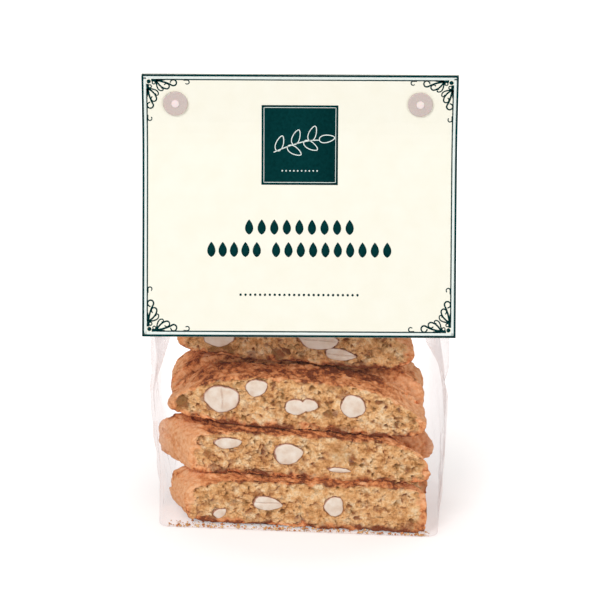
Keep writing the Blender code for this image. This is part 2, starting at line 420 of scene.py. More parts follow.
def splay(height):
    """How far a card panel stands out at this height: nothing while clamped, then a hyperbola
    that bends with BEND_RADIUS and runs on straight to CARD_SPLAY at the lower edge."""
    below = np.maximum(CARD_TOP - CLAMPED_HEIGHT - height, 0.0)
    whole = CARD_TOP - CLAMPED_HEIGHT - CARD_BOTTOM
    rise = np.hypot(below, BEND_RADIUS) - BEND_RADIUS
    return CARD_SPLAY * rise / (math.hypot(whole, BEND_RADIUS) - BEND_RADIUS)


def bag_width(height):
    """The walls lean out from the base and narrow a little again towards the mouth."""
    wide = BASE_WIDTH + (BAG_WIDTH - BASE_WIDTH) * smooth(height / WIDEN_HEIGHT)
    narrow = smooth((height - CARD_BOTTOM) / (CARD_TOP - CLAMPED_HEIGHT - CARD_BOTTOM))
    return wide - (BAG_WIDTH - MOUTH_WIDTH) * narrow


def bag_depth(height):
    """Full at the base, leaning in from the shoulder, and just inside the card above its edge."""
    inside_card = 2 * (CARD_INNER + splay(np.maximum(height, CARD_BOTTOM)) - 0.3)
    lean = smooth((height - SHOULDER_HEIGHT) / (CARD_BOTTOM - SHOULDER_HEIGHT))
    return BASE_DEPTH + (inside_card - BASE_DEPTH) * lean


def bag_twist(height, x, y):
    """x and y turned and shifted by what is left of the base's twist at this height."""
    calm = 1 - smooth(height / UNTWIST_HEIGHT)
    angle = BASE_TWIST * calm
    return x * np.cos(angle) - y * np.sin(angle) + BASE_SHIFT * calm, x * np.sin(angle) + y * np.cos(angle)


CREASES = (  # each from x, z to x, z on the film: how far in, and how wide
    ((44, 86), (53, 62), 1.6, 2.0), ((53, 62), (60, 45), 1.5, 2.2), ((55, 74), (63, 66), 1.2, 1.6),
    ((58, 52), (62, 34), 1.3, 1.6), ((61, 30), (54, 21), 1.2, 1.5), ((54, 21), (56, 2), 1.3, 1.8),
    ((60, 84), (56, 60), 0.9, 1.4), ((-61, 86), (-59, 40), 0.9, 2.2), ((-56, 84), (-62, 58), 0.8, 1.8),
    ((-59, 40), (-55, 6), 0.9, 2.0), ((-62, 34), (-56, 22), 0.8, 1.4), ((-50, 14), (-57, 3), 0.7, 1.4),
)


def build_film(material):
    """Rings of the bag's outline from base to mouth, a rounded rectangle whose sides fold in to a
    pleat. The film then falls in by creases, each an exponential ridge round a line, and by the
    borders of random cells, which give loose film its flat facets. The ends close to a point."""
    corner_steps, face_steps, side_steps, ring_count = 10, 84, 46, 190
    signs = ((1, 1), (-1, 1), (-1, -1), (1, -1))
    plan = []
    for quarter in range(4):
        here, there = signs[quarter], signs[(quarter + 1) % 4]
        turn = np.linspace(0, 1, corner_steps + 1)
        run = np.linspace(0, 1, (side_steps if quarter % 2 else face_steps) + 1)[1:-1]
        angle = np.concatenate([quarter + turn, np.full(len(run), quarter + 1)]) * math.pi / 2
        share = np.concatenate([turn * 0, run])
        fixed = np.tile([*here, *there, quarter % 2], (len(angle), 1))
        plan.append(np.column_stack([fixed, angle, share]))
    from_x, from_y, to_x, to_y, is_side, angle, share = np.concatenate(plan).T

    heights = FILM_INSET + (MOUTH_TOP - FILM_INSET) * np.linspace(0, 1, ring_count) ** 1.15
    h = heights[:, None]
    inset = BASE_BEVEL - np.sqrt(np.maximum(BASE_BEVEL**2 - np.maximum(BASE_BEVEL - h, 0) ** 2, 0))
    a = bag_width(h) / 2 - inset - FILM_INSET
    b = bag_depth(h) / 2 - inset - FILM_INSET
    corner = np.minimum(BASE_CORNER + (WALL_CORNER - BASE_CORNER) * smooth(h / WIDEN_HEIGHT), 0.6 * b)
    pleat = GUSSET_DEPTH * smooth((h - GUSSET_START) / (CARD_BOTTOM - GUSSET_START))
    pleat = np.minimum(pleat, GUSSET_LIMIT * b)
    x = (a - corner) * (from_x + (to_x - from_x) * share) + corner * np.cos(angle)
    y = (b - corner) * (from_y + (to_y - from_y) * share) + corner * np.sin(angle)
    x = x - np.sign(x) * pleat * np.sin(np.pi * share) ** 2 * is_side
    x, y = bag_twist(h, x, y)
    z = np.broadcast_to(h, x.shape)

    # Outwards, seen from above, is a quarter turn clockwise of the way round the ring.
    along_x = np.roll(x, -1, axis=1) - np.roll(x, 1, axis=1)
    along_y = np.roll(y, -1, axis=1) - np.roll(y, 1, axis=1)
    size = np.hypot(along_x, along_y)
    points = np.stack([x, y, z], axis=-1).reshape(-1, 3)

    fall = np.zeros(x.shape)
    front = smooth((-y - 4) / 8)
    for start, end, depth, width in CREASES:
        run_x, run_z = end[0] - start[0], end[1] - start[1]
        part = np.clip(((x - start[0]) * run_x + (z - start[1]) * run_z) / (run_x**2 + run_z**2), 0, 1)
        away = np.hypot(x - start[0] - part * run_x, z - start[1] - part * run_z)
        fall += depth * np.exp(-away / width) * front
    stretch = np.array([1.0, 1.0, 0.55])
    near, second, _ = nearest(points * stretch, 17.0, 40)
    facet = np.minimum(second - near, 0.45).reshape(x.shape)
    side = smooth((np.abs(x) - 44) / 14)
    free = smooth((z - 1.5) / 8) * smooth((150 - z) / 50)
    fall += (0.45 - facet) * (0.9 + 2.0 * side) * free
    fall += np.clip(swell(points, 26.0, 47, 2).reshape(x.shape) + 0.3, 0, 2) * (0.3 + 0.7 * side) * free
    fall = fall * smooth(b / 8)
    x = x - along_y / size * fall
    y = y + along_x / size * fall

    rings = np.stack([x, y, z], axis=-1)
    middle = rings.mean(axis=1)
    floor_rings = [middle[0] + (rings[0] - middle[0]) * part for part in (0.25, 0.55, 0.8, 0.94)]
    rings = np.concatenate([np.array(floor_rings), rings])
    count = rings.shape[1]
    rows = np.arange(rings.shape[0] * count).reshape(-1, count)
    points = np.concatenate([rings.reshape(-1, 3), middle[:1], middle[-1:]])
    faces = [round_faces(rows), fan_faces(rows[0], len(points) - 2)[:, ::-1],
             fan_faces(rows[-1], len(points) - 1)]
    loose = 0.2 * smooth((np.abs(points[:, 0]) - 52) / 7) * (0.3 + 0.7 * smooth((points[:, 2] - 25) / 30))
    film = add_piece("film", points, faces, material, {"loose": loose})
    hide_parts("bag")
    return film


# Biscotti

class Biscotto:
    """One slice: its place in the stack and its shape. The cut face is in the plane of u, along the
    slice, and w, up. v goes through the slice from the shown cut to the other one."""

    def __init__(self, name, place, yaw, length, height, thick, seed, tilt=0.0, skew=0.6,
                 drop=(0.6, 0.6), power=3.5, rise=(3.0, 3.0), lean=0.0, step=0.5, almonds=(),
                 hollows=(), flip=False, heel_crust_as_shade=False):
        self.name, self.place, self.yaw, self.tilt = name, place, math.radians(yaw), math.radians(tilt)
        self.length, self.height, self.thick, self.skew, self.seed = length, height, thick, skew, seed
        self.drop, self.power, self.rise, self.lean, self.step = drop, power, rise, lean, step
        self.hollows, self.flip, self.heel_crust_as_shade = hollows, flip, heel_crust_as_shade
        self.almonds = list(almonds) or self.chance_almonds()

    def chance_almonds(self):
        """Four or five almonds spread along the cut, by the slice's own seed."""
        draw = np.random.default_rng(self.seed)
        count = 4 + self.seed % 2
        cuts = []
        for k in range(count):
            u = ((k + 0.5) / count - 0.5 + draw.uniform(-0.05, 0.05)) * self.length * 0.86
            w = self.height * draw.uniform(0.32, 0.66)
            long, wide, angle = draw.uniform(7, 13), draw.uniform(4.5, 8.5), draw.uniform(-40, 40)
            cuts.append((u, w, long, wide, angle, 0.2, k % 3))
        return cuts

    def bottom(self, t):
        """The lower edge: flat, curling up towards the ends."""
        return np.where(t < 0, self.rise[0], self.rise[1]) * np.abs(t) ** 7

    def top(self, t):
        """The upper edge: a dome that drops to a blunt end."""
        drop = np.where(t < 0, self.drop[0], self.drop[1])
        return self.height * (1 + self.lean * t) * (1 - drop * np.abs(t) ** self.power)

    def outline(self, t, s):
        """u and w at t along (-1 to 1) and s up (0 to 1). The ends bulge by a parabola."""
        low, high = self.bottom(t), self.top(t)
        bulge = 0.035 * np.abs(t) ** 9 * (1 - (2 * s - 1) ** 2)
        return self.length / 2 * (t + np.sign(t) * bulge), low + (high - low) * s

    def world(self, local):
        """Places u, v, w in the stack: slanted by the skewed cut, tilted, turned and moved."""
        u, v, w = local.T
        u = u - self.skew * v
        if self.flip:
            u, v = -u, -v
        u, w = turned(u, w, self.tilt)
        x, y = turned(u, v, self.yaw)
        return np.column_stack([x, y, w]) + np.array(self.place)


def almond_radius(cut, u, w):
    """1 on the edge of an almond's cut, less inside it: an ellipse drawn in to a point at one end."""
    centre_u, centre_w, long, wide, angle, point, _ = cut
    x, y = turned(u - centre_u, w - centre_w, -math.radians(angle))
    x, y = x / (long / 2), y / (wide / 2)
    return np.sqrt(x**2 + (y / np.maximum(1 - point * x, 0.3)) ** 2)


def slice_shape(slice_):
    """A closed surface in three parts: both cuts are grids between the lower and the upper edge, and
    the crust is a band of rings from the edge of one to the edge of the other. Every point then
    moves along its outward direction: in by bubbles and almond sockets on the cuts, out and in by
    swells, and in by cracks on the crust."""
    step = slice_.step
    across = round(slice_.length / step)
    up = round(slice_.height / step)
    t, s = np.meshgrid(np.linspace(-1, 1, across + 1), np.linspace(0, 1, up + 1))
    u, w = slice_.outline(t, s)
    low, high = slice_.bottom(t), slice_.top(t)
    face = np.arange(t.size).reshape(t.shape)
    loop = np.concatenate([face[0], face[1:, -1], face[-1, -2::-1], face[-2:0:-1, 0]])
    band = max(int(slice_.thick / (step * 1.25)), 8)
    depths = np.linspace(0, slice_.thick, band + 1)[1:-1]

    flat_u, flat_w = u.ravel(), w.ravel()
    loop_u, loop_w = flat_u[loop], flat_w[loop]
    along_u = np.roll(loop_u, -2) - np.roll(loop_u, 2)
    along_w = np.roll(loop_w, -2) - np.roll(loop_w, 2)
    size = np.hypot(along_u, along_w)
    out_u, out_w = along_w / size, -along_u / size

    count = t.size
    cut_points = [np.column_stack([flat_u, np.full(count, depth), flat_w]) for depth in (0, slice_.thick)]
    ring_points = [np.column_stack([loop_u, np.full(len(loop), depth), loop_w]) for depth in depths]
    points = np.concatenate(cut_points + ring_points)
    away = np.zeros_like(points)
    away[:count, 1] = -1
    away[count : 2 * count, 1] = 1
    ring_out = np.column_stack([out_u, np.zeros(len(loop)), out_w])
    away[2 * count :] = np.tile(ring_out, (len(depths), 1))
    for start in (0, count):
        away[loop + start] = ring_out + 0.4 * away[loop + start]
    away /= np.linalg.norm(away, axis=1, keepdims=True)

    # How much each point is crust: all of the band, and an uneven line round each cut, thicker
    # underneath and at the ends.
    seed = slice_.seed * 10
    spot = points + seed
    wander = swell(spot[:count], 3.0, seed + 1, 3)
    ends = slice_.length / 2 - np.abs(u)
    edge = np.minimum(np.minimum((w - low) * 0.55, high - w), ends * 0.5 + 0.1).ravel()
    line = smooth((1.7 + 1.1 * wander - edge) / 1.4)
    crust = np.concatenate([line, line, np.ones(len(loop) * len(depths))])
    crust[loop] = 1
    crust[loop + count] = 1
    # On these back slices the far cut is coloured all as crust, so the face seen in the gap between the
    # slices is darker: a darker face put where there is shade
    if slice_.heel_crust_as_shade:
        crust[count : 2 * count] = 1
    in_cut = 1 - smooth((crust - 0.3) / 0.7)

    # The cut crumb: grains with pits between them, and bubbles drawn out of round
    drawn = spot + 1.0 * np.column_stack([swell(spot, 2.2, seed + k, 3) for k in (20, 23, 26)])
    drawn[:, 2] *= 1.25
    hole = 0.9 * dents(drawn, 3.4, seed + 2, 0.14) + 0.9 * dents(drawn, 1.9, seed + 3, 0.35)
    hole += 0.8 * dents(drawn, 1.1, seed + 4, 0.5)
    near, _, _ = nearest(drawn, 2.6, seed + 30)
    pit = smooth((near - 0.42) / 0.4)
    fine_near, _, _ = nearest(drawn, 1.25, seed + 34)
    fine_pit = smooth((fine_near - 0.45) / 0.4)
    torn = 0.25 * swell(spot, 1.3, seed + 5, 2) + 0.4 * swell(spot, 5.0, seed + 6)
    patchy = smooth(0.5 + 0.9 * swell(spot, 6.5, seed + 38, 2))
    hole += (0.3 + 0.5 * patchy) * pit + (0.12 + 0.3 * patchy) * fine_pit
    move = in_cut * (torn - hole)
    # Painted shade: the crumb is darkened by how deep it lies in its pits and bubbles
    pore_shade = in_cut * np.clip(hole / 1.2, 0, 1)
    # Each of the slice's hollows is a sunk bowl with painted shade in it, as strong as its last number
    for centre_u, centre_w, radius, deep, dark in slice_.hollows:
        far = np.hypot(drawn[:count, 0] - seed - centre_u, points[:count, 2] - centre_w) / radius
        bowl = np.clip(1 - (far * (1 + 0.3 * wander)) ** 2, 0, 1)
        smoothed = smooth(bowl / 0.6)
        move[:count] = move[:count] * (1 - 0.7 * smoothed) - deep * np.sqrt(bowl)
        pore_shade[:count] = pore_shade[:count] * (1 - 0.6 * smoothed) + dark * smoothed
    # Round each almond the crumb sinks into a socket, and its edge is darkened: the painted shadow of the
    # gap round the almond
    for cut in slice_.almonds:
        inside = smooth((1.04 - almond_radius(cut, points[:count, 0], points[:count, 2])) / 0.1)
        move[:count] = move[:count] * (1 - inside) - 1.3 * inside
        pore_shade[:count] = pore_shade[:count] * (1 - inside) + 0.5 * inside

    # The crust
    crack_near, crack_second, own = nearest(drawn, 8.5, seed + 7)
    crack = np.exp(-(crack_second - crack_near) / 0.04) * smooth((own - 0.45) / 0.3)
    rough = 1.0 * swell(spot, 11.0, seed + 8) + 0.5 * swell(spot, 4.0, seed + 9, 3)
    height_share = points[:, 2] / slice_.height
    end = smooth((np.abs(points[:, 0]) / (slice_.length / 2) - 0.8) / 0.15)
    under = smooth((2.5 - points[:, 2]) / 2.5)
    blister = 0.35 * smooth((height_share - 0.5) / 0.4) * (1 - end)
    rough += blister * swell(spot, 1.6, seed + 15, 2)
    chip = np.clip(swell(spot, 4.5, seed + 16, 3), 0, 1.2)
    from_cut = np.exp(-np.minimum(points[:, 1], slice_.thick - points[:, 1]) / 1.6)
    rough = np.where(rough > 0, rough * (1 - 0.7 * under), rough)
    rough += 0.16 * swell(spot, 1.2, seed + 17, 2)
    rough -= 1.1 * chip * np.maximum(from_cut * 0.8, under * (1 - end))
    move += (1 - in_cut) * (rough - 0.4 * crack - 0.45 * dents(drawn, 4.0, seed + 11, 0.2) - 0.12 * pit)

    # Toasting: darker on the dome and underneath, paler on the ends. The cracks and the pits
    # between grains are darkened too, as painted shade in them.
    toast_and_crack_shade = 0.1 + 0.24 * swell(spot, 9.0, seed + 12, 2) + 0.22 * swell(spot, 2.5, seed + 13, 2)
    toast_and_crack_shade += 0.16 * smooth((height_share - 0.6) / 0.4) + 0.22 * under - 0.22 * end + 0.3 * crack
    toast_and_crack_shade[: 2 * count] += 0.24 * smooth((0.6 - height_share[: 2 * count]) / 0.5)
    toast_and_crack_shade += 0.14 * pit

    points = points + away * move[:, None]
    rings = 2 * count + np.arange(len(loop) * len(depths)).reshape(-1, len(loop))
    rows = np.concatenate([loop[None], rings, loop[None] + count])
    faces = [strip_faces(face), strip_faces(face + count)[:, ::-1], round_faces(rows)[:, ::-1]]
    values = {"crust": crust, "pore_shade": pore_shade, "toast_and_crack_shade": np.clip(toast_and_crack_shade, 0, 1)}
    return slice_.world(points), faces, values


def almond_shape(slice_, number):
    """An almond cut through: rings from the middle of its cut to its edge, round it and down to a
    point behind. A groove with a Gauss profile, along it or across it, parts its two halves."""
    centre_u, centre_w, long, wide, angle, point, cleft = slice_.almonds[number]
    seed = slice_.seed * 100 + number
    draw = np.random.default_rng(seed)
    turn = np.linspace(0, 2 * math.pi, 73)[:-1]
    radii = np.array([0.08, 0.16, 0.24, 0.32, 0.4, 0.48, 0.56, 0.64, 0.72, 0.79, 0.85, 0.9, 0.94, 0.97,
                      1.0, 0.97, 0.8, 0.5, 0.2])
    depth = np.concatenate([np.zeros(11), [0.03, 0.08, 0.2, 0.5, 1.2, 2.2, 2.9, 3.2]])
    wobble = 1 + 0.045 * np.cos(3 * turn + seed) + 0.03 * np.cos(5 * turn + 2 * seed)
    wobble = wobble + 0.012 * np.cos(11 * turn + 3 * seed)
    x = np.cos(turn) * wobble
    y = np.sin(turn) * wobble * (1 - point * np.cos(turn))
    grid_x, grid_y = radii[:, None] * x, radii[:, None] * y
    level = np.broadcast_to(depth[:, None], grid_x.shape)
    cut = (level < 0.06).astype(float)
    dome = cut * 0.3 * np.clip(1 - radii[:, None] ** 2, 0, 1)
    split = draw.uniform(-0.12, 0.12)
    off = grid_x - split + 0.1 * grid_y**2 if cleft == 2 else grid_y - split - 0.1 * np.sin(2.2 * grid_x)
    size = long if cleft == 2 else wide
    groove = np.exp(-((off * size / 2 / 0.28) ** 2)) * (cleft > 0) * smooth((0.93 - radii[:, None]) / 0.1)
    u, w = turned(grid_x * long / 2, grid_y * wide / 2, math.radians(angle))
    inward = level - 0.3 - dome + 0.5 * groove
    points = np.stack([u + centre_u, inward, w + centre_w], axis=-1).reshape(-1, 3)
    uneven = (0.16 * swell(points, 3.0, seed) + 0.05 * swell(points, 0.9, seed + 1)) * cut.ravel()
    points[:, 1] += uneven
    ring = points.reshape(grid_x.shape + (3,))
    poles = np.array([ring[0].mean(axis=0), ring[-1].mean(axis=0)])
    points = np.concatenate([points, poles])
    rows = np.arange(grid_x.size).reshape(grid_x.shape)
    faces = [round_faces(rows), fan_faces(rows[0], len(points) - 2)[:, ::-1],
             fan_faces(rows[-1], len(points) - 1)]
    skin_and_cleft_shade = np.broadcast_to(smooth((np.arange(len(radii)) - 11.2) / 1.8)[:, None], grid_x.shape)
    # The groove is darkened with the coat's brown: painted shade in the cleft between the halves
    skin_and_cleft_shade = np.maximum(skin_and_cleft_shade, 0.35 * groove)
    return slice_.world(points), faces, {"skin_and_cleft_shade": np.concatenate([skin_and_cleft_shade.ravel(), [0, 1]])}


def build_crumbs(material):
    """Small rough balls on the floor of the bag: one coarse ball, its points swollen at random,
    at random sizes and places."""
    draw = np.random.default_rng(5)
    count = 520
    lat = np.linspace(0, math.pi, 6)[1:-1]
    lon = np.linspace(0, 2 * math.pi, 8)[:-1]
    ring = np.stack([np.outer(np.sin(lat), np.cos(lon)), np.outer(np.sin(lat), np.sin(lon)),
                     np.outer(np.cos(lat), np.ones(len(lon)))], axis=-1).reshape(-1, 3)
    ball = np.concatenate([ring, [[0, 0, 1], [0, 0, -1]]])
    rows = np.arange(len(ring)).reshape(len(lat), len(lon))
    quads = round_faces(rows)[:, ::-1]
    tris = np.concatenate([fan_faces(rows[0], len(ring)), fan_faces(rows[-1], len(ring) + 1)[:, ::-1]])
    size = 0.2 + 0.55 * draw.random(count) ** 4
    front = draw.random(count) < 0.85
    x = draw.uniform(-56, 56, count) * np.where(front, 1, 0.7)
    y = np.where(front, -29 + 6 * draw.random(count) ** 1.6, draw.uniform(22, 28, count))
    x, y = bag_twist(np.zeros(count), x, y)
    shape = 1 + draw.uniform(-0.3, 0.3, (count, len(ball), 1))
    flat = np.array([1.0, 1.0, 0.7])
    points = ball * shape * flat * size[:, None, None]
    points = points + np.stack([x, y, 0.35 + 0.7 * size], axis=-1)[:, None, :]
    start = np.arange(count)[:, None, None] * len(ball)
    faces = [(quads[None] + start).reshape(-1, 4), (tris[None] + start).reshape(-1, 3)]
    total = count * len(ball)
    tint = np.repeat(draw.random(count), len(ball))
    values = {"crust": (tint > 0.7).astype(float), "pore_shade": np.zeros(total), "toast_and_crack_shade": 0.3 * tint}
    return add_piece("crumbs", points.reshape(-1, 3), faces, material, values)


# An almond is u, w, length, width in mm, its turn in degrees, how pointed it is, and its groove: 0 none,
# 1 along, 2 across. Hollows are each u, w, radius, depth in mm and how much painted shade darkens them.
STACK = (
    Biscotto("biscotto_front_1", (3.4, -26.4, 0.7), -6, 101, 21.0, 18.5, 1, skew=0.5, drop=(0.26, 0.14),
             power=8, rise=(1.5, 1), lean=0.04, step=0.3,
             almonds=((-37, 5.0, 6.2, 4.0, 32, 0.1, 0), (-16.5, 10.5, 12.5, 6.4, -3, 0.15, 1),
                      (12, 10.8, 9.4, 8.2, 75, 0.12, 0)),
             hollows=((-31, 9.5, 2.2, 0.6, 0.45), (26, 16.5, 2.0, 0.8, 0.5))),
    Biscotto("biscotto_front_2", (4.6, -22.3, 21.4), -9, 101, 20.4, 19.0, 2, skew=0.94, drop=(0.28, 0.45),
             power=7, rise=(0.5, 3), step=0.3,
             almonds=((-35, 14.4, 12.0, 5.0, 6, 0.1, 0), (-9, 11.2, 12.5, 9.6, 12, 0.1, 0),
                      (13, 5.4, 9.5, 2.2, 0, 0.1, 0)),
             hollows=((13.5, 13.0, 6.0, 0.5, 0.3), (-43, 8.5, 2.6, 0.6, 0.5))),
    Biscotto("biscotto_front_3", (-0.8, -16.2, 41.9), -10, 107, 22.8, 18.0, 3, tilt=-0.8, skew=0.16,
             drop=(0.62, 0.6), power=3.5, rise=(5, 4), step=0.3,
             almonds=((-32.5, 11.2, 15.6, 12.2, 4, 0.04, 2), (-17.5, 17.6, 9.8, 7.6, 20, 0.1, 0),
                      (-0.6, 10.2, 9.6, 7.2, 4, -0.1, 0), (5.4, 11.6, 7.4, 5.6, 10, 0.12, 0),
                      (24, 12.8, 10.8, 10.4, 30, 0.05, 0)),
             hollows=((13, 8.0, 2.3, 1.4, 0.8), (-50, 8.5, 3.0, 1.4, 1.2))),
    Biscotto("biscotto_top_1", (-1.7, 0.4, 65.7), -11, 100, 20.5, 16.0, 4, tilt=-0.5, skew=0.2,
             drop=(0.5, 0.45), power=4, rise=(3.5, 4), step=0.3,
             almonds=((-33, 8.6, 14.0, 7.5, 10, 0.1, 0), (10, 11.3, 17.5, 8.5, -4, 0.1, 1),
                      (19.5, 5.6, 13.5, 5.4, -4, 0.12, 1)),
             hollows=((-32, 3.2, 6.0, 1.2, 0.8), (-8, 3.0, 3.4, 1.0, 0.8))),
    Biscotto("biscotto_back_1", (-1.0, 20.5, 0.7), -4.6, 97, 20.6, 18.0, 5, skew=0.5, drop=(0.4, 0.4),
             power=5, step=0.4, flip=True),
    Biscotto("biscotto_back_2", (1.5, 20.0, 21.2), -6, 103, 20.6, 17.5, 6, skew=0.3, drop=(0.4, 0.45),
             power=5, step=0.4, flip=True, heel_crust_as_shade=True),
    Biscotto("biscotto_back_3", (-0.6, 21.3, 42.0), -7.5, 107, 24.6, 16.5, 7, skew=0.1, drop=(0.36, 0.42),
             power=6, step=0.4, flip=True, heel_crust_as_shade=True),
    Biscotto("biscotto_top_2", (0.5, -8.0, 86.6), -3, 101, 19.0, 15.5, 8, skew=0.2, drop=(0.5, 0.5),
             power=4, step=0.5),
)


# The card's print

PROUD = 0.04  # how far ink stands off the card, drawn thicker than real ink so that it shows
SUNK = 0.12  # how far its underside lies in the card
FOLD_STRIPS = 4  # a line over the fold is laid as this many strips, so that it bends with the card


def card_face():
    """The front panel's outer face as heights, depths and outward directions, from its solid's
    own line: straight between CARD_STEPS heights, then a quarter turn over the fold."""
    middle = CARD_INNER + CARD_THICKNESS / 2
    heights = np.linspace(CARD_BOTTOM, CARD_TOP - CARD_OUTER, CARD_STEPS + 1)
    line = np.column_stack([-(middle + splay(heights)), heights])
    along = np.gradient(line, axis=0)
    along /= np.linalg.norm(along, axis=1, keepdims=True)
    away = np.column_stack([-along[:, 1], along[:, 0]])
    face = line + away * CARD_THICKNESS / 2
    turn = np.linspace(math.pi, math.pi / 2, FOLD_STEPS // 2 + 1)[1:]
    round_fold = np.column_stack([np.cos(turn), np.sin(turn)])
    away[-1] = (-1, 0)
    face[-1] = (-CARD_OUTER, CARD_TOP - CARD_OUTER)
    face = np.concatenate([face, [0, CARD_TOP - CARD_OUTER] + CARD_OUTER * round_fold])
    away = np.concatenate([away, round_fold])
    return face[:, 1], face[:, 0], away


FACE_Z, FACE_Y, FACE_OUT = card_face()


def on_card(x, z, lift):
    """Points at x and z on the card's front, lifted off it."""
    out_y = np.interp(z, FACE_Z, FACE_OUT[:, 0])
    out_z = np.interp(z, FACE_Z, FACE_OUT[:, 1])
    return np.stack([x, np.interp(z, FACE_Z, FACE_Y) + out_y * lift, z + out_z * lift], axis=-1)


def stroke(path, width, lift=PROUD):
    """A ribbon of ink: a flat box section, width wide, carried along a path of x and z."""
    path = np.asarray(path, float)
    width = np.broadcast_to(width, len(path))
    along = np.gradient(path, axis=0)
    along /= np.maximum(np.linalg.norm(along, axis=1, keepdims=True), 1e-9)
    aside = np.column_stack([-along[:, 1], along[:, 0]]) * width[:, None] / 2
    left, right = path + aside, path - aside
    corners = ((left, lift), (right, lift), (right, -SUNK), (left, -SUNK))
    rows = [on_card(*edge.T, height) for edge, height in corners]
    points = np.stack(rows, axis=1).reshape(-1, 3)
    grid = np.arange(len(points)).reshape(-1, 4)
    return points, [round_faces(grid), grid[:1, ::-1], grid[-1:]], {}


def line_path(start, end, pitch=1.2):
    """Evenly spaced points along a straight line."""
    count = max(int(math.dist(start, end) / pitch), 2)
    return np.linspace(start, end, count + 1)


def dot(x, z, radius, lift=PROUD):
    """A filled round spot: a ribbon as wide as a circle's chord."""
    part = np.cos(np.linspace(math.pi, 0, 15)) * 0.998
    path = np.column_stack([x + radius * part, np.full(15, z)])
    return stroke(path, 2 * radius * np.sqrt(1 - part**2), lift)


def leaf(x, z, long, wide, angle, lift=PROUD):
    """A filled almond shape: a ribbon whose width swells as a sine and peaks below its middle."""
    part = np.linspace(0, 1, 19)
    run_x, run_z = turned((part - 0.5) * long, part * 0, math.radians(angle))
    width = wide * np.sin(np.pi * part**0.8) ** 0.85 + 0.01
    return stroke(np.column_stack([x + run_x, z + run_z]), width, lift)


def leaf_outline(x, z, long, wide, angle, width, lift):
    """A line round an almond shape."""
    part = np.linspace(0, 1, 41)
    side = np.sin(2 * np.pi * part)
    along = -np.cos(2 * np.pi * part)
    run_x, run_z = turned(along * long / 2, side * wide / 2 * (1 - 0.25 * along), math.radians(angle))
    return stroke(np.column_stack([x + run_x, z + run_z]), width, lift)


def hook(start, centre, radius, first, turn):
    """A curl: a bend from start that runs into an arc round centre. Angles are in degrees."""
    angle = np.radians(first + turn * np.linspace(0, 1, 25))
    arc = np.array(centre) + radius * np.column_stack([np.cos(angle), np.sin(angle)])
    away = np.array([-math.sin(angle[0]), math.cos(angle[0])]) * math.copysign(1, turn)
    knee = arc[0] - away * math.dist(start, arc[0]) * 0.45
    part = np.linspace(0, 1, 17)[:-1, None]
    bend = (1 - part) ** 2 * np.array(start) + 2 * part * (1 - part) * knee + part**2 * arc[0]
    return np.concatenate([bend, arc])


def corner_ornament():
    """Paths and widths of one corner's scrolls, as distances in from the card's two edges."""
    root = (6.0, 2.6)
    half = [
        (hook(root, (13.1, 3.5), 1.25, 120, -300), 0.46),
        (hook(root, (10.3, 5.0), 1.1, 100, -250), 0.42),
        (hook(root, (8.3, 6.3), 0.55, 80, -200), 0.34),
        (hook((17.2, 2.35), (18.7, 3.2), 0.85, -90, 230), 0.36),
    ]
    return half


